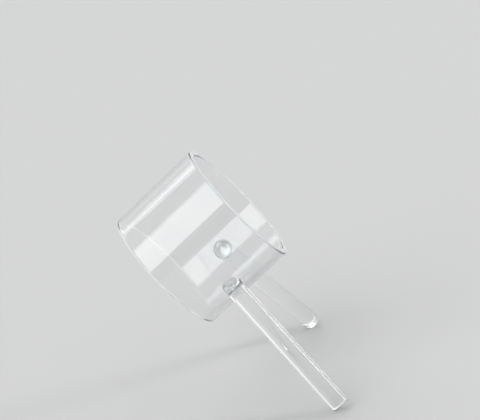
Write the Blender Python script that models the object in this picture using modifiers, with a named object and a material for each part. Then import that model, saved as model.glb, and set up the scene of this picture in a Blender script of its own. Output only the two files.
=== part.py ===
"""A stand that holds one wine bottle at a slant: a short clear tube on two clear rod legs.

The bottle is pushed through the tube until its own base meets the table. The two splayed legs
carry the tube in front of that base, so the loaded stand has three feet. Everything is clear
acrylic, and each leg is cemented to the tube's outer wall.

Metres, +Z up. The origin is on the table, under the middle of the stand. +X points to the
tube's raised end, where the bottle's neck comes out, and the stand is symmetric about the XZ
plane. Left and right are those of someone who looks along +X.
"""

from math import cos, pi, radians, sin, sqrt

import bmesh
import bpy
from mathutils import Vector

# Tube
TUBE_OUTER_RADIUS = 0.045
TUBE_WALL = 0.004
TUBE_LENGTH = 0.066
TUBE_TILT = radians(35)  # its axis above the table
TUBE_EDGE_ROUND = 0.0014  # polished end edges, inside and out
TUBE_SIDES = 96

# Legs
LEG_RADIUS = 0.006
LEG_LENGTH = 0.101  # along its axis, from the tube's wall to the flat foot
LEG_SPLAY = radians(23.2)  # outwards from straight down, seen along the tube
LEG_JOINT_ANGLE = radians(53.2)  # from the tube's lowest line round to the joint
LEG_JOINT_STATION = -0.0026  # along the tube from its middle
LEG_FOOT_ROUND = 0.0014
LEG_SIDES = 48

# Cement joints
CEMENT_THICKNESS = 0.0005
CEMENT_BEAD = 0.0008  # how far the squeezed-out cement stands proud of the leg
CEMENT_SIDES = 64
CLEARANCE = 0.0003  # between a joint's cement and the pieces on either side of it

ROUND_SEGMENTS = 4  # of each rounded edge
CUTTER_LENGTH = 0.1
MERGE_DISTANCE = 0.00001
SMOOTH_ANGLE = radians(30)

TUBE_AXIS = Vector((cos(TUBE_TILT), 0, sin(TUBE_TILT)))
TUBE_DOWN = Vector((sin(TUBE_TILT), 0, -cos(TUBE_TILT)))  # square to the axis, to its lowest line
TUBE_ROTATION = (0, pi / 2 - TUBE_TILT, 0)

LEFT, RIGHT = 1, -1


def leg_direction(side):
    """The way a leg runs from the tube to its foot."""
    return sin(LEG_SPLAY) * Vector((0, side, 0)) + cos(LEG_SPLAY) * TUBE_DOWN


def joint_point(side):
    """Where a leg's axis meets the tube's outer wall, from the tube's centre."""
    outward = sin(LEG_JOINT_ANGLE) * Vector((0, side, 0)) + cos(LEG_JOINT_ANGLE) * TUBE_DOWN
    return LEG_JOINT_STATION * TUBE_AXIS + TUBE_OUTER_RADIUS * outward


def foot_centre(side):
    """The middle of a foot's flat end, from the tube's centre."""
    return joint_point(side) + LEG_LENGTH * leg_direction(side)


def foot_reach(along):
    """How far a round-edged foot reaches past its centre, on a world axis that its leg leans to.

    along is the share of the leg's direction that runs on that axis.
    """
    flat_radius = LEG_RADIUS - LEG_FOOT_ROUND
    return flat_radius * sqrt(1 - along**2) + LEG_FOOT_ROUND * (1 - along)


def tube_centre():
    """The tube's centre, which sets the feet on the table and the stand over its origin."""
    foot = foot_centre(LEFT)
    direction = leg_direction(LEFT)
    height = -foot.z + foot_reach(-direction.z)
    front = foot.x + foot_reach(direction.x)
    corner_radius = TUBE_OUTER_RADIUS - TUBE_EDGE_ROUND
    corner_station = TUBE_LENGTH / 2 - TUBE_EDGE_ROUND
    back = corner_station * TUBE_AXIS.x + corner_radius * TUBE_DOWN.x + TUBE_EDGE_ROUND
    return Vector(((back - front) / 2, 0, height))


def clear_scene():
    for obj in list(bpy.data.objects):
        bpy.data.objects.remove(obj)


def new_collection(name):
    collection = bpy.data.collections.new(name)
    bpy.context.scene.collection.children.link(collection)
    return collection


def clear_material(name, colour, roughness, ior):
    material = bpy.data.materials.new(name)
    material.use_nodes = True
    shader = material.node_tree.nodes["Principled BSDF"]
    shader.inputs["Base Color"].default_value = (*colour, 1)
    shader.inputs["Metallic"].default_value = 0
    shader.inputs["Roughness"].default_value = roughness
    shader.inputs["IOR"].default_value = ior
    shader.inputs["Transmission Weight"].default_value = 1
    return material


def new_object(name, bm, collection, parent):
    mesh = bpy.data.meshes.new(name)
    bm.to_mesh(mesh)
    bm.free()
    obj = bpy.data.objects.new(name, mesh)
    obj.parent = parent
    collection.objects.link(obj)
    return obj


def finish_piece(piece, material):
    """Its material, and smooth shading on its round faces."""
    piece.data.materials.append(material)
    piece.data.shade_smooth()
    piece.data.set_sharp_from_angle(angle=SMOOTH_ANGLE)


def mark_cutter(cutter):
    cutter.display_type = "WIRE"
    cutter.hide_render = True


def ring_section(inner_radius, outer_radius, length, edge_round):
    """Points of a ring's section at +X: down its outer side and up its bore, with rounded corners."""
    top = length / 2
    corners = (
        (outer_radius, top, 90),
        (outer_radius, -top, 0),
        (inner_radius, -top, -90),
        (inner_radius, top, -180),
    )
    if not edge_round:
        return [(radius, height) for radius, height, _ in corners]
    middle = (inner_radius + outer_radius) / 2
    points = []
    for radius, height, start in corners:
        centre_radius = radius - edge_round if radius > middle else radius + edge_round
        centre_height = height - edge_round if height > 0 else height + edge_round
        for step in range(ROUND_SEGMENTS + 1):
            angle = radians(start - 90 * step / ROUND_SEGMENTS)
            across = centre_radius + edge_round * cos(angle)
            along = centre_height + edge_round * sin(angle)
            points.append((across, along))
    return points


def turned_ring(name, section, collection, parent):
    """A closed section turned about the tube's axis."""
    bm = bmesh.new()
    corners = [bm.verts.new((radius, 0, height)) for radius, height in section]
    for first, second in zip(corners, corners[1:] + corners[:1]):
        bm.edges.new((first, second))
    ring = new_object(name, bm, collection, parent)
    ring.rotation_euler = TUBE_ROTATION
    screw = ring.modifiers.new("Turn", "SCREW")
    screw.axis = "Z"
    screw.angle = 2 * pi
    screw.steps = TUBE_SIDES
    screw.render_steps = TUBE_SIDES
    screw.use_merge_vertices = True
    screw.merge_threshold = MERGE_DISTANCE
    screw.use_smooth_shade = True
    return ring


def rod(name, radius, sides, start, length, direction, collection, parent):
    """A round bar whose first end is at start, run along direction."""
    bm = bmesh.new()
    bmesh.ops.create_cone(
        bm, cap_ends=True, segments=sides, radius1=radius, radius2=radius, depth=length
    )
    bar = new_object(name, bm, collection, parent)
    bar.location = start + direction * (length / 2)
    bar.rotation_euler = direction.to_track_quat("Z", "Y").to_euler()
    return bar


def combine(piece, other, operation):
    boolean = piece.modifiers.new(operation.title(), "BOOLEAN")
    boolean.operation = operation
    boolean.solver = "EXACT"
    boolean.object = other


def make_tube(collection, parent, material):
    bore_radius = TUBE_OUTER_RADIUS - TUBE_WALL
    section = ring_section(bore_radius, TUBE_OUTER_RADIUS, TUBE_LENGTH, TUBE_EDGE_ROUND)
    tube = turned_ring("bottle_sleeve", section, collection, parent)
    finish_piece(tube, material)
    return tube


def make_seat_cutter(collection, parent):
    """The round of the tube's wall, with room for the cement, which copes each leg's top."""
    radius = TUBE_OUTER_RADIUS + CEMENT_THICKNESS + 2 * CLEARANCE
    start = -TUBE_AXIS * (CUTTER_LENGTH / 2)
    cutter = rod(
        "seat_cutter", radius, TUBE_SIDES, start, CUTTER_LENGTH, TUBE_AXIS, collection, parent
    )
    mark_cutter(cutter)
    return cutter


def make_cement_layer(collection, parent):
    """The layer round the tube's wall that the cement of both joints lies in."""
    inner_radius = TUBE_OUTER_RADIUS + CLEARANCE
    section = ring_section(inner_radius, inner_radius + CEMENT_THICKNESS, CUTTER_LENGTH, 0)
    layer = turned_ring("cement_layer", section, collection, parent)
    mark_cutter(layer)
    return layer


def make_leg(name, side, seat_cutter, collection, parent, material):
    """A rod with a rounded foot, whose top end is coped to the tube's wall."""
    direction = leg_direction(side)
    buried = TUBE_OUTER_RADIUS / 2
    start = joint_point(side) - buried * direction
    leg = rod(
        name, LEG_RADIUS, LEG_SIDES, start, LEG_LENGTH + buried, direction, collection, parent
    )
    bevel = leg.modifiers.new("Foot edge", "BEVEL")
    bevel.width = LEG_FOOT_ROUND
    bevel.segments = ROUND_SEGMENTS
    bevel.limit_method = "ANGLE"
    bevel.angle_limit = SMOOTH_ANGLE
    combine(leg, seat_cutter, "DIFFERENCE")
    finish_piece(leg, material)
    return leg


def make_cement_joint(name, side, cement_layer, collection, parent, material):
    """The cement between a leg and the tube, squeezed out a little all round the leg."""
    direction = leg_direction(side)
    buried = TUBE_OUTER_RADIUS / 2
    start = joint_point(side) - buried * direction
    joint = rod(
        name,
        LEG_RADIUS + CEMENT_BEAD,
        CEMENT_SIDES,
        start,
        2 * buried,
        direction,
        collection,
        parent,
    )
    combine(joint, cement_layer, "INTERSECT")
    finish_piece(joint, material)
    return joint


def main():
    clear_scene()
    pieces = new_collection("wine_bottle_stand")
    cutters = new_collection("cutters")

    centre = bpy.data.objects.new("tube_centre", None)
    centre.location = tube_centre()
    pieces.objects.link(centre)

    acrylic = clear_material("clear_acrylic", (0.97, 0.98, 0.98), 0.03, 1.49)
    cement = clear_material("clear_cement", (0.96, 0.97, 0.97), 0.15, 1.49)

    make_tube(pieces, centre, acrylic)
    seat_cutter = make_seat_cutter(cutters, centre)
    cement_layer = make_cement_layer(cutters, centre)
    for side_name, side in (("left", LEFT), ("right", RIGHT)):
        make_leg(f"{side_name}_leg", side, seat_cutter, pieces, centre, acrylic)
        make_cement_joint(
            f"{side_name}_cement_joint", side, cement_layer, pieces, centre, cement
        )


main()
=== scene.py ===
"""The looks of a clear acrylic stand that holds one wine bottle at a slant.

Five pieces replace the five CAD nodes: the tube, its two rod legs and the cement of each joint.
Clear acrylic shows everything behind it, so the pieces have to meet as the real ones do. Where
cement wets acrylic the faces have the bonded material, and light goes straight on through them.
The cement wets only a ring of a leg's end. In the pocket of air inside that ring the leg and the
tube keep their acrylic faces, which mirror, and the film has the bonded material, which hides it.

Lengths are in metres. Each mesh is made in its own frame: the tube's Z is its axis and its X its
lowest line, and a leg's Z runs from the joint to the foot, with its X along the tube.
"""

from math import cos, pi, radians, sin

import bpy
import numpy as np
from mathutils import Matrix, Vector


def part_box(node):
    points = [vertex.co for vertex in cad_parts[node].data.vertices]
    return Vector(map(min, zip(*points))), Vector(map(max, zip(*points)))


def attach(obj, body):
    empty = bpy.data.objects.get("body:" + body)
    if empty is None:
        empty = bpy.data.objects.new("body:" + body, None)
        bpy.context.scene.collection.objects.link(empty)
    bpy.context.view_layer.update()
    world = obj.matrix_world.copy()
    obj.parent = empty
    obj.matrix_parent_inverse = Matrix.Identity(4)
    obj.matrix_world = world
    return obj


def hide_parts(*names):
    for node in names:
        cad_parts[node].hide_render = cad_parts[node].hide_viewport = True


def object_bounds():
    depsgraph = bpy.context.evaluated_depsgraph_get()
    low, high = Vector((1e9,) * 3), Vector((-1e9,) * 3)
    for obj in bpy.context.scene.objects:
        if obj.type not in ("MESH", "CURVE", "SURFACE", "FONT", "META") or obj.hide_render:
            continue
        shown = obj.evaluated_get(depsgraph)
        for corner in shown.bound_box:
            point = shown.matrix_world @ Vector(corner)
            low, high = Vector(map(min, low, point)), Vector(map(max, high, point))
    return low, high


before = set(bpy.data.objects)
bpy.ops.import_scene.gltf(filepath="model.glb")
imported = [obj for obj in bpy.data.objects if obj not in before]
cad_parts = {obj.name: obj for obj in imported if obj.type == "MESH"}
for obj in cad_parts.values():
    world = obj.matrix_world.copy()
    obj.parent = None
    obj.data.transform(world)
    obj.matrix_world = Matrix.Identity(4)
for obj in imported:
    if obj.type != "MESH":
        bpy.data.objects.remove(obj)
cad_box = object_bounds()

# Sizes of the CAD model
TUBE_RADIUS = 0.045
TUBE_WALL = 0.004
TUBE_LENGTH = 0.066
TUBE_TILT = radians(35)
TUBE_EDGE_ROUND = 0.0014
LEG_RADIUS = 0.006
LEG_LENGTH = 0.101
LEG_SPLAY = radians(23.2)
LEG_JOINT_ANGLE = radians(53.2)  # round the tube, from its lowest line
LEG_JOINT_STATION = -0.0026  # along the tube, from its middle
LEG_FOOT_ROUND = 0.0014
LEG_OFFSET = TUBE_RADIUS * sin(LEG_JOINT_ANGLE - LEG_SPLAY)  # of a leg's axis from the tube's
LEG_REACH = TUBE_RADIUS * cos(LEG_JOINT_ANGLE - LEG_SPLAY)  # along the leg, tube axis to joint

TUBE_AXIS = Vector((cos(TUBE_TILT), 0, sin(TUBE_TILT)))
TUBE_DOWN = Vector((sin(TUBE_TILT), 0, -cos(TUBE_TILT)))
UP = Vector((0, 0, 1))
LEFT, RIGHT = 1, -1

# Meshes
AROUND_TUBE = 480
TUBE_STEP = 0.0006  # between the rings of the outer wall
AROUND_LEG = 128
LEG_STEP = 0.0008
EDGE_STEPS = 8  # over a quarter turn of a rounded edge
CAP_RINGS = 18  # over a leg's coped end
BEAD_RINGS = 10
FOOT_SHARES = (0.75, 0.5, 0.25)  # of the foot's radius, for the rings on its flat
SHARP_EDGE = radians(38)

# Cement
FILM = 0.00010  # between a leg's coped end and the tube
SKIN = 0.000006  # parts two faces that touch
BEAD_RADIUS = 0.0065  # of the bead's toe on the tube, from the leg's axis
BEAD_HEIGHT = 0.0009
BEAD_FULLNESS = 0.72  # 0 is a hollow fillet and 1 a full round
POCKET_RADIUS = 0.0054  # of the air left inside the ring of cement
WET_MARGIN = 0.0002  # from the bead's toe in to the tube's wetted faces

# Unevenness, as the size, the turns round the piece and the phase of each sine
TOE_SINES = ((0.00012, 3, 0.7), (0.00008, 5, 2.1))
POCKET_SINES = ((0.00030, 2, 1.1), (0.00016, 5, 0.0))
BEAD_SINES = ((0.18, 2, 0.4), (0.10, 5, 0.0))  # sizes are shares of the bead's height
TUBE_WAVE = 0.000022  # half the greatest depth of the waves of drawn tube
LEG_WAVE = 0.0000025  # half the depth of a leg's waves
LEG_LINES = 0.35  # a leg's fine lines, as a share of its waves
LEG_WAVE_GROWTH = 0.004  # length below the bead over which the waves grow
WEAKEST_SINE = 0.4  # of a wave, as a share of what its strongest may be

# Places in a piece's list of materials
OWN, BONDED, BUFFED = 0, 1, 2
BUFFED_DEPTH = 0.35 * TUBE_EDGE_ROUND  # how far from its ends the tube is buffed

# Materials. A noise's scale is in cells per metre
ACRYLIC_IOR = 1.49
CEMENT_IOR = 1.47
TINT_COLOUR = (0.80, 0.93, 0.96)
TINT_DENSITY = 1.0
SCRATCH_ROUGHNESS = 0.10
POLISHED_ROUGHNESS = 0.008
MILKY = 0.5  # transmission of satin acrylic and of cement: the rest is scattered white

# Studio
FLOOR_RADIUS = 9.0
FLOOR_AROUND = 96
FLOOR_SHARES = np.linspace(0.05, 1, 24) ** 2  # of its radius, for the floor's rings
SOFTBOX_DISTANCE = 8.0
SOFTBOXES = (
    # name, direction from the stand, width and height, power, what the height runs along
    ("key_softbox", (-0.58, -0.58, 0.58), (6.9, 5.45), 329, TUBE_AXIS),
    ("back_softbox", (-0.30, 0.75, 0.85), (7.4, 4.0), 163, UP),
    ("right_strip", (0.95, 0.15, 0.42), (2.25, 6.75), 300, UP),
)

# Camera
CAMERA_AZIMUTH = radians(-1.631)
CAMERA_ELEVATION = radians(16.568)
CAMERA_ROLL = radians(-9.354)
CAMERA_DISTANCE = 1.04296
CAMERA_LENS = 121.17  # millimetres
AIM_RIGHT = 0.02334  # of the tube's centre, as a share of the distance
AIM_ABOVE = 0.01636


# ---------------------------------------------------------------- meshes

def uneven(base, sines, angle):
    """base with each of the sines added to it, at an angle round the piece."""
    for size, turns, phase in sines:
        base = base + size * np.sin(turns * angle + phase)
    return base


def wave(seed, turns, lengths, count):
    """A smooth random ripple from -1 to 1, by an angle and a distance along the piece.

    turns and lengths are each the least and the most that one of its sines may have.
    """
    rng = np.random.default_rng(seed)
    sines = [
        (
            rng.integers(turns[0], turns[1] + 1),
            2 * pi / rng.uniform(*lengths),
            rng.uniform(0, 2 * pi),
            rng.uniform(WEAKEST_SINE, 1),
        )
        for _ in range(count)
    ]
    total = sum(size for _, _, _, size in sines)

    def height(angle, along):
        return sum(
            size * np.sin(turn * angle + rate * along + phase)
            for turn, rate, phase, size in sines
        ) / total

    return height


def polar(radius, angles, heights):
    return np.stack((radius * np.cos(angles), radius * np.sin(angles), heights), axis=1)


def mesh_piece(name, rings, matrix, slots, poles=None):
    """A closed skin over rings of points, each joined to the next.

    Without poles the last ring meets the first. With them, a point closes each end.
    slots gives the faces of a band their places in the list of materials, from their middles.
    """
    around = len(rings[0])
    last = len(rings) - 1
    points = np.concatenate(rings)
    here = np.arange(around)
    there = np.roll(here, -1)
    faces = []
    face_slots = []
    for band in range(last + 1 if poles is None else last):
        low = band * around
        high = (band + 1) % len(rings) * around
        quads = np.stack((low + here, low + there, high + there, high + here), axis=1)
        faces += quads.tolist()
        face_slots.append(slots(band, points[quads].mean(axis=1)))
    if poles is not None:
        pole = np.full(around, len(points))
        points = np.vstack((points, poles))
        first_fan = np.stack((pole, there, here), axis=1)
        last_fan = np.stack((pole + 1, last * around + here, last * around + there), axis=1)
        for band, fan in ((-1, first_fan), (last, last_fan)):
            faces += fan.tolist()
            face_slots.append(slots(band, points[fan].mean(axis=1)))
    mesh = bpy.data.meshes.new(name)
    mesh.from_pydata(points.tolist(), [], faces)
    mesh.polygons.foreach_set("material_index", np.concatenate(face_slots).astype(np.int32))
    mesh.shade_smooth()
    mesh.set_sharp_from_angle(angle=SHARP_EDGE)
    grain = mesh.attributes.new("grain", "FLOAT_VECTOR", "POINT")
    grain.data.foreach_set("vector", points.astype(np.float32).ravel())
    mesh.transform(matrix)
    piece = bpy.data.objects.new(name, mesh)
    bpy.context.scene.collection.objects.link(piece)
    return piece


def finish_piece(piece, materials, node):
    """Gives a piece its materials, and ties it to the CAD model."""
    for material in materials:
        piece.data.materials.append(material)
    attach(piece, "root")
    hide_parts(node)


def tube_centre():
    low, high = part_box("bottle_sleeve")
    return (low + high) / 2


def frame_matrix(x, y, z, place):
    return Matrix.Translation(place) @ Matrix((x, y, z)).transposed().to_4x4()


def tube_matrix():
    return frame_matrix(TUBE_DOWN, Vector((0, 1, 0)), TUBE_AXIS, tube_centre())


def leg_matrix(side):
    """A leg's frame, which starts where its axis meets the tube's outer wall."""
    along = sin(LEG_SPLAY) * Vector((0, side, 0)) + cos(LEG_SPLAY) * TUBE_DOWN
    outward = sin(LEG_JOINT_ANGLE) * Vector((0, side, 0)) + cos(LEG_JOINT_ANGLE) * TUBE_DOWN
    place = tube_centre() + LEG_JOINT_STATION * TUBE_AXIS + TUBE_RADIUS * outward
    return frame_matrix(TUBE_AXIS, along.cross(TUBE_AXIS), along, place)


# ---------------------------------------------------------------- joints

def outboard_of(side, y):
    """How far a point of a leg's frame lies outboard of the leg's axis, from its Y."""
    return -side * y


def on_joint(points, side):
    """Where points in the tube's frame lie across a leg: along the tube, outboard, and if near."""
    across = np.array((-sin(LEG_SPLAY), side * cos(LEG_SPLAY)))
    down = np.array((cos(LEG_SPLAY), side * sin(LEG_SPLAY)))
    along = points[:, 2] - LEG_JOINT_STATION
    outboard = points[:, :2] @ across - LEG_OFFSET
    return along, outboard, points[:, :2] @ down > 0


def seat(outboard, radius):
    """The Z in a leg's frame at which a round of this radius about the tube's axis is met."""
    return np.sqrt(radius**2 - (LEG_OFFSET + outboard) ** 2) - LEG_REACH


def seat_ring(side, radius, angles, seat_radius):
    """A ring about a leg's axis that lies on a round about the tube's axis."""
    outboard = outboard_of(side, radius * np.sin(angles))
    return polar(radius, angles, seat(outboard, seat_radius))


def toe_radius(angle):
    """The bead's outline on the tube, by the angle from along the tube to outboard."""
    return uneven(BEAD_RADIUS, TOE_SINES, angle)


def in_pocket(along, outboard):
    """True where there is air between a leg and the tube, and no cement."""
    edge = uneven(POCKET_RADIUS, POCKET_SINES, np.arctan2(outboard, along))
    return np.hypot(along, outboard) < edge


def snapped_to_toes(angles, heights):
    """The outer wall's grid points, with those beside a bead's toe moved on to it."""
    for side in (LEFT, RIGHT):
        along, outboard, near = on_joint(polar(TUBE_RADIUS, angles, heights), side)
        turn = np.arctan2(outboard, along)
        toe = toe_radius(turn)
        beside = near & (np.abs(toe - np.hypot(along, outboard)) < 0.5 * TUBE_STEP)
        moved_out = LEG_OFFSET + toe * np.sin(turn)
        bearing = LEG_SPLAY + np.arcsin(np.clip(moved_out / TUBE_RADIUS, -1, 1))
        angles = np.where(beside, side * bearing % (2 * pi), angles)
        heights = np.where(beside, LEG_JOINT_STATION + toe * np.cos(turn), heights)
    return angles, heights


def wave_share(angles, heights):
    """How much of its waves the outer wall has: none on a joint's patch, and all away from it."""
    points = polar(TUBE_RADIUS, angles, heights)
    flattened = np.zeros(len(angles))
    for side in (LEFT, RIGHT):
        along, outboard, near = on_joint(points, side)
        distance = np.hypot(along, outboard)
        flattened = np.maximum(flattened, near * np.clip(2 - distance / BEAD_RADIUS, 0, 1))
    return 1 - flattened


# ---------------------------------------------------------------- pieces

def tube_section():
    """The tube's section as radii and heights, and how many of them are on the outer wall."""
    inner = TUBE_RADIUS - TUBE_WALL
    straight = TUBE_LENGTH / 2 - TUBE_EDGE_ROUND
    outer_turn = TUBE_RADIUS - TUBE_EDGE_ROUND
    inner_turn = inner + TUBE_EDGE_ROUND
    stations = np.linspace(-straight, straight, round(2 * straight / TUBE_STEP) + 1)

    def corner(radius, height, start):
        turns = [radians(start + 90 * step / EDGE_STEPS) for step in range(EDGE_STEPS + 1)]
        return [
            (radius + TUBE_EDGE_ROUND * cos(turn), height + TUBE_EDGE_ROUND * sin(turn))
            for turn in turns
        ]

    section = [(TUBE_RADIUS, height) for height in stations]
    section += corner(outer_turn, straight, 0)[1:]
    section += corner(inner_turn, straight, 90)
    section += [(inner, height) for height in stations[::-2][1:-1]]
    section += corner(inner_turn, -straight, 180)
    section += corner(outer_turn, -straight, 270)[:-1]
    return section, len(stations)


def make_tube(materials):
    """The sleeve: its section turned, with rounded ends and the faint waves of drawn tube."""
    section, outer_count = tube_section()
    angles = np.linspace(0, 2 * pi, AROUND_TUBE, endpoint=False)
    outer_wave = wave(seed=11, turns=(2, 9), lengths=(0.05, 0.2), count=9)
    inner_wave = wave(seed=12, turns=(2, 9), lengths=(0.05, 0.2), count=9)
    rings = []
    for number, (radius, height) in enumerate(section):
        ripple = outer_wave if radius > TUBE_RADIUS - TUBE_WALL / 2 else inner_wave
        ring_angles = angles
        heights = np.full(AROUND_TUBE, height)
        share = 1
        if number < outer_count:
            ring_angles, heights = snapped_to_toes(angles, heights)
            share = wave_share(ring_angles, heights)
        swell = TUBE_WAVE * (ripple(ring_angles, heights) - 1) * share
        rings.append(polar(radius + swell, ring_angles, heights))

    def slots(band, middles):
        at_end = np.abs(middles[:, 2]) > TUBE_LENGTH / 2 - BUFFED_DEPTH
        found = np.where(at_end, BUFFED, OWN)
        if band < outer_count - 1:
            for side in (LEFT, RIGHT):
                along, outboard, near = on_joint(middles, side)
                wet_radius = toe_radius(np.arctan2(outboard, along)) - WET_MARGIN
                wet = near & (np.hypot(along, outboard) < wet_radius)
                found = np.where(wet & ~in_pocket(along, outboard), BONDED, found)
        return found

    piece = mesh_piece("acrylic_sleeve", rings, tube_matrix(), slots)
    finish_piece(piece, materials, "bottle_sleeve")


def make_leg(name, side, node, materials):
    """A rod coped to the tube, with a flat foot whose edge is rounded."""
    angles = np.linspace(0, 2 * pi, AROUND_LEG, endpoint=False)
    cope = TUBE_RADIUS + FILM
    ripple = wave(seed=21 + side, turns=(0, 3), lengths=(0.008, 0.045), count=10)
    lines = wave(seed=31 + side, turns=(4, 17), lengths=(0.2, 0.6), count=8)

    def swell(heights):
        return LEG_WAVE * (ripple(angles, heights) + LEG_LINES * lines(angles, heights) - 1)

    rings = [
        seat_ring(side, LEG_RADIUS * step / CAP_RINGS, angles, cope)
        for step in range(1, CAP_RINGS + 1)
    ]
    crest = rings[-1][:, 2] + BEAD_HEIGHT
    foot_start = LEG_LENGTH - LEG_FOOT_ROUND
    rows = round(foot_start / LEG_STEP)
    for row in range(rows):
        heights = crest + (foot_start - crest) * row / (rows - 1)
        grown = np.clip((heights - crest) / LEG_WAVE_GROWTH, 0, 1)
        rings.append(polar(LEG_RADIUS + grown * swell(heights), angles, heights))
    for step in range(1, EDGE_STEPS + 1):
        turn = radians(90 * step / EDGE_STEPS)
        radius = LEG_RADIUS - LEG_FOOT_ROUND * (1 - cos(turn)) + swell(foot_start)
        height = foot_start + LEG_FOOT_ROUND * sin(turn)
        rings.append(polar(radius, angles, np.full(AROUND_LEG, height)))
    foot_edge = rings[-1]
    rings += [foot_edge * (share, share, 1) for share in FOOT_SHARES]
    poles = [(0, 0, seat(0, cope)), (0, 0, LEG_LENGTH)]

    def slots(band, middles):
        if band >= CAP_RINGS:
            return np.full(len(middles), OWN)
        return np.where(in_pocket(middles[:, 0], outboard_of(side, middles[:, 1])), OWN, BONDED)

    piece = mesh_piece(name, rings, leg_matrix(side), slots, poles)
    finish_piece(piece, materials, node)


def make_cement(name, side, node, materials):
    """The film between a leg's end and the tube, and the bead squeezed out round the leg."""
    angles = np.linspace(0, 2 * pi, AROUND_LEG, endpoint=False)
    wall = TUBE_RADIUS + SKIN
    cope = TUBE_RADIUS + FILM - SKIN
    leg = LEG_RADIUS + SKIN
    toes = toe_radius(np.arctan2(outboard_of(side, np.sin(angles)), np.cos(angles)))
    rings = [
        seat_ring(side, toes * step / CAP_RINGS, angles, wall)
        for step in range(1, CAP_RINGS + 1)
    ]
    toe_height = rings[-1][:, 2]
    rim = seat(outboard_of(side, leg * np.sin(angles)), cope)
    height = BEAD_HEIGHT * uneven(1, BEAD_SINES, angles)
    crest = rim + height
    pull_radius = leg + BEAD_FULLNESS * (toes - leg)
    pull_height = rim + BEAD_FULLNESS * height
    for step in range(1, BEAD_RINGS + 1):
        t = step / BEAD_RINGS
        radius = (1 - t) ** 2 * toes + 2 * t * (1 - t) * pull_radius + t**2 * leg
        level = (1 - t) ** 2 * toe_height + 2 * t * (1 - t) * pull_height + t**2 * crest
        rings.append(polar(radius, angles, level))
    rings.append(polar(leg, angles, (rim + crest) / 2))
    rings += [
        seat_ring(side, leg * step / CAP_RINGS, angles, cope) for step in range(CAP_RINGS, 0, -1)
    ]
    poles = [(0, 0, seat(0, wall)), (0, 0, seat(0, cope))]

    def slots(band, middles):
        if CAP_RINGS - 1 <= band < CAP_RINGS - 1 + BEAD_RINGS:
            return np.full(len(middles), OWN)
        return np.where(in_pocket(middles[:, 0], outboard_of(side, middles[:, 1])), BONDED, OWN)

    piece = mesh_piece(name, rings, leg_matrix(side), slots, poles)
    finish_piece(piece, materials, node)


# ---------------------------------------------------------------- materials

class Nodes:
    """A node tree, with short ways to add and join nodes."""

    def __init__(self, tree):
        self.tree = tree

    def add(self, kind, **values):
        node = self.tree.nodes.new(kind)
        for name, value in values.items():
            setattr(node, name, value)
        return node

    def join(self, source, target):
        self.tree.links.new(source, target)

    def coordinates(self, scale, turn):
        """The piece's own coordinates, turned and then stretched."""
        place = self.add("ShaderNodeAttribute", attribute_name="grain")
        mapping = self.add("ShaderNodeMapping", vector_type="TEXTURE")
        mapping.inputs["Rotation"].default_value = turn
        mapping.inputs["Scale"].default_value = [1 / x for x in scale]
        self.join(place.outputs["Vector"], mapping.inputs["Vector"])
        return mapping.outputs["Vector"]

    def noise(self, scale, detail, turn=(0, 0, 0), roughness=0.5):
        node = self.add("ShaderNodeTexNoise")
        node.inputs["Scale"].default_value = 1
        node.inputs["Detail"].default_value = detail
        node.inputs["Roughness"].default_value = roughness
        self.join(self.coordinates(scale, turn), node.inputs["Vector"])
        return node.outputs["Fac"]

    def span(self, source, stretch, result):
        """source, with its values over stretch turned into those of result, and clamped."""
        node = self.add("ShaderNodeMapRange", clamp=True)
        names = ("From Min", "From Max", "To Min", "To Max")
        for name, value in zip(names, (*stretch, *result)):
            node.inputs[name].default_value = value
        self.join(source, node.inputs["Value"])
        return node.outputs["Result"]

    def math(self, operation, first, second):
        node = self.add("ShaderNodeMath", operation=operation)
        for socket, value in zip(node.inputs, (first, second)):
            if isinstance(value, (int, float)):
                socket.default_value = value
            else:
                self.join(value, socket)
        return node.outputs[0]

    def tones(self, source, stretch, first, second):
        """A colour that goes from first to second as source crosses stretch."""
        node = self.add("ShaderNodeMix", data_type="RGBA")
        node.inputs["A"].default_value = (*first, 1)
        node.inputs["B"].default_value = (*second, 1)
        self.join(self.span(source, stretch, (0, 1)), node.inputs["Factor"])
        return node.outputs["Result"]

    def bump(self, height, distance, normal=None):
        node = self.add("ShaderNodeBump")
        node.inputs["Distance"].default_value = distance
        node.inputs["Strength"].default_value = 1
        self.join(height, node.inputs["Height"])
        if normal is not None:
            self.join(normal, node.inputs["Normal"])
        return node.outputs["Normal"]


def clear_shader(name, ior, transmission=1.0):
    material = bpy.data.materials.new(name)
    material.use_nodes = True
    shader = material.node_tree.nodes["Principled BSDF"]
    shader.inputs["Metallic"].default_value = 0
    shader.inputs["IOR"].default_value = ior
    shader.inputs["Transmission Weight"].default_value = transmission
    return material, Nodes(material.node_tree), shader


def tint_inside(material, nodes):
    """The faint colour that light takes on through acrylic's thickness."""
    volume = nodes.add("ShaderNodeVolumeAbsorption")
    volume.inputs["Color"].default_value = (*TINT_COLOUR, 1)
    volume.inputs["Density"].default_value = TINT_DENSITY
    output = material.node_tree.nodes["Material Output"]
    nodes.join(volume.outputs["Volume"], output.inputs["Volume"])


def hairlines(nodes, turn, cells_along):
    """Fine scratches that run one way: the crests of a noise stretched along them."""
    source = nodes.noise((2600, cells_along, 2600), detail=1, turn=turn)
    return nodes.span(source, (0.68, 0.74), (0, 1))


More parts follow.
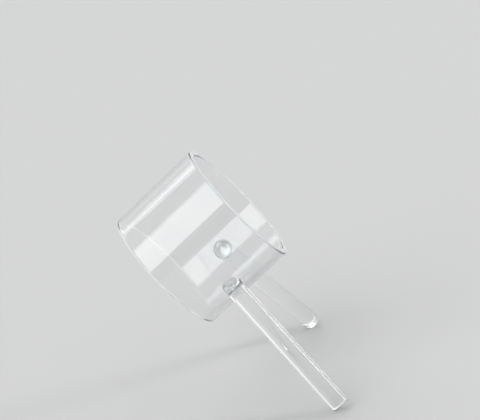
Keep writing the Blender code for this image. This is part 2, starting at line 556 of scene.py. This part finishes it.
def acrylic(name):
    """Polished clear acrylic: die lines along the piece, hairline scratches and soft smears."""
    material, nodes, shader = clear_shader(name, ACRYLIC_IOR)
    cloud = nodes.noise((55, 55, 40), detail=2)
    colour = nodes.tones(cloud, (0.35, 0.7), (0.985, 0.99, 0.992), (0.96, 0.968, 0.972))
    nodes.join(colour, shader.inputs["Base Color"])
    steep = hairlines(nodes, turn=(0.3, 0.1, 0.9), cells_along=60)
    shallow = hairlines(nodes, turn=(1.1, 0.7, -0.4), cells_along=69)
    scratches = nodes.math("MAXIMUM", steep, shallow)
    smear = nodes.span(nodes.noise((90, 90, 30), detail=4), (0.5, 0.75), (0, 0.035))
    rough = nodes.math("ADD", smear, nodes.math("MULTIPLY", scratches, SCRATCH_ROUGHNESS))
    nodes.join(nodes.math("ADD", rough, POLISHED_ROUGHNESS), shader.inputs["Roughness"])
    die_lines = nodes.noise((900, 900, 6), detail=3, roughness=0.6)
    ripple = nodes.noise((160, 160, 70), detail=1)
    normal = nodes.bump(die_lines, 0.0000015)
    normal = nodes.bump(ripple, 0.000003, normal)
    normal = nodes.bump(scratches, 0.000002, normal)
    nodes.join(normal, shader.inputs["Normal"])
    tint_inside(material, nodes)
    return material


def buffed_end(name):
    """A sawn end, buffed to a satin: fine parallel saw marks and a patchy haze."""
    material, nodes, shader = clear_shader(name, ACRYLIC_IOR, MILKY)
    marks = nodes.noise((220, 5200, 220), detail=2, turn=(0, 0, 0.5))
    haze = nodes.noise((160, 160, 160), detail=2)
    colour = nodes.tones(haze, (0.35, 0.65), (0.99, 0.995, 1.0), (0.95, 0.965, 0.98))
    nodes.join(colour, shader.inputs["Base Color"])
    mark_roughness = nodes.span(marks, (0.35, 0.7), (0.22, 0.30))
    haze_roughness = nodes.span(haze, (0.35, 0.7), (0, 0.06))
    rough = nodes.math("ADD", mark_roughness, haze_roughness)
    nodes.join(rough, shader.inputs["Roughness"])
    nodes.join(nodes.bump(marks, 0.0000012), shader.inputs["Normal"])
    tint_inside(material, nodes)
    return material


def cement(name):
    """Set solvent cement: slightly milky and glossy, with an uneven skin."""
    material, nodes, shader = clear_shader(name, CEMENT_IOR, MILKY)
    skin = nodes.noise((700, 700, 700), detail=3)
    colour = nodes.tones(skin, (0.35, 0.65), (0.99, 0.995, 1.0), (0.95, 0.97, 0.985))
    nodes.join(colour, shader.inputs["Base Color"])
    nodes.join(nodes.span(skin, (0.35, 0.7), (0.02, 0.10)), shader.inputs["Roughness"])
    nodes.join(nodes.bump(skin, 0.00002), shader.inputs["Normal"])
    return material


def bonded(name):
    """Where there is no surface to see: light goes straight on, but for faint specks."""
    material, nodes, shader = clear_shader(name, ior=1.0)
    specks = nodes.noise((1500, 1500, 1500), detail=2)
    colour = nodes.tones(specks, (0.4, 0.7), (1.0, 1.0, 1.0), (0.97, 0.975, 0.98))
    nodes.join(colour, shader.inputs["Base Color"])
    shader.inputs["Roughness"].default_value = 0
    return material


# ---------------------------------------------------------------- studio

def matte_board(name):
    material = bpy.data.materials.new(name)
    material.use_nodes = True
    nodes = Nodes(material.node_tree)
    shader = material.node_tree.nodes["Principled BSDF"]
    grain = nodes.noise((300, 300, 300), detail=3)
    colour = nodes.tones(grain, (0.3, 0.7), (0.47, 0.47, 0.47), (0.49, 0.49, 0.49))
    nodes.join(colour, shader.inputs["Base Color"])
    shader.inputs["Roughness"].default_value = 0.85
    shader.inputs["Specular IOR Level"].default_value = 0.2
    return material


def make_floor():
    """A wide round floor, with finer rings near the stand."""
    angles = np.linspace(0, 2 * pi, FLOOR_AROUND, endpoint=False)
    here = range(1, FLOOR_AROUND + 1)
    points = [(0.0, 0.0, 0.0)]
    faces = [(0, i, i % FLOOR_AROUND + 1) for i in here]
    for ring, radius in enumerate(FLOOR_RADIUS * FLOOR_SHARES):
        points += [(radius * cos(angle), radius * sin(angle), 0.0) for angle in angles]
        low = (ring - 1) * FLOOR_AROUND
        high = ring * FLOOR_AROUND
        if ring > 0:
            for i in here:
                j = i % FLOOR_AROUND + 1
                faces.append((low + i, high + i, high + j, low + j))
    mesh = bpy.data.meshes.new("studio_floor")
    mesh.from_pydata(points, [], faces)
    mesh.materials.append(matte_board("matte_board"))
    floor = bpy.data.objects.new("studio_floor", mesh)
    bpy.context.scene.collection.objects.link(floor)


def make_world():
    """A pale tent that brightens upwards, with a wall at the back that is whiter to the right."""
    world = bpy.data.worlds.new("light_tent")
    bpy.context.scene.world = world
    world.use_nodes = True
    nodes = Nodes(world.node_tree)
    background = world.node_tree.nodes["Background"]
    place = nodes.add("ShaderNodeTexCoord")
    parts = nodes.add("ShaderNodeSeparateXYZ")
    nodes.join(place.outputs["Generated"], parts.inputs["Vector"])
    tent = nodes.span(parts.outputs["Z"], (0.02, 0.75), (0.42, 0.85))
    at_back = nodes.span(parts.outputs["Y"], (0.50, 0.80), (0, 0.3))
    below_top = nodes.span(parts.outputs["Z"], (0.42, 0.62), (1, 0))
    to_right = nodes.span(parts.outputs["X"], (-0.3, 0.4), (0.6, 1.8))
    wall = nodes.math("MULTIPLY", nodes.math("MULTIPLY", at_back, below_top), to_right)
    nodes.join(nodes.math("ADD", tent, wall), background.inputs["Strength"])
    background.inputs["Color"].default_value = (0.99, 1.0, 1.0, 1)


def make_softbox(name, direction, size, power, upright):
    """A rectangular light that faces the stand, with its height turned along upright."""
    back = Vector(direction).normalized()
    across = upright.cross(back).normalized()
    low, high = cad_box
    place = (low + high) / 2 + SOFTBOX_DISTANCE * back
    data = bpy.data.lights.new(name, "AREA")
    data.shape = "RECTANGLE"
    data.size, data.size_y = size
    data.energy = power
    lamp = bpy.data.objects.new(name, data)
    lamp.matrix_world = frame_matrix(across, back.cross(across), back, place)
    bpy.context.scene.collection.objects.link(lamp)


def make_camera():
    back = Vector((
        sin(CAMERA_AZIMUTH) * cos(CAMERA_ELEVATION),
        -cos(CAMERA_AZIMUTH) * cos(CAMERA_ELEVATION),
        sin(CAMERA_ELEVATION),
    ))
    level = (-back).cross(UP).normalized()
    upright = level.cross(-back)
    right = level * cos(CAMERA_ROLL) + upright * sin(CAMERA_ROLL)
    up = upright * cos(CAMERA_ROLL) - level * sin(CAMERA_ROLL)
    place = tube_centre() + CAMERA_DISTANCE * (back + AIM_RIGHT * right + AIM_ABOVE * up)
    data = bpy.data.cameras.new("camera")
    data.lens = CAMERA_LENS
    camera = bpy.data.objects.new("camera", data)
    camera.matrix_world = frame_matrix(right, up, back, place)
    bpy.context.scene.collection.objects.link(camera)
    bpy.context.scene.camera = camera


def set_look():
    """Plain colours, and enough bounces for light to cross the joints."""
    scene = bpy.context.scene
    scene.view_settings.view_transform = "Standard"
    scene.cycles.max_bounces = 64
    scene.cycles.transmission_bounces = 64
    scene.cycles.glossy_bounces = 18
    scene.cycles.transparent_max_bounces = 16


# ---------------------------------------------------------------- scene

make_camera()
make_world()
for softbox in SOFTBOXES:
    make_softbox(*softbox)
make_floor()
set_look()

clear = acrylic("clear_acrylic")
end = buffed_end("buffed_acrylic_end")
bond = bonded("cement_bond")
bead = cement("clear_cement")
make_tube((clear, bond, end))
for side_name, side in (("left", LEFT), ("right", RIGHT)):
    make_leg(f"{side_name}_acrylic_leg", side, f"{side_name}_leg", (clear, bond))
    make_cement(f"{side_name}_cement", side, f"{side_name}_cement_joint", (bead, bond))
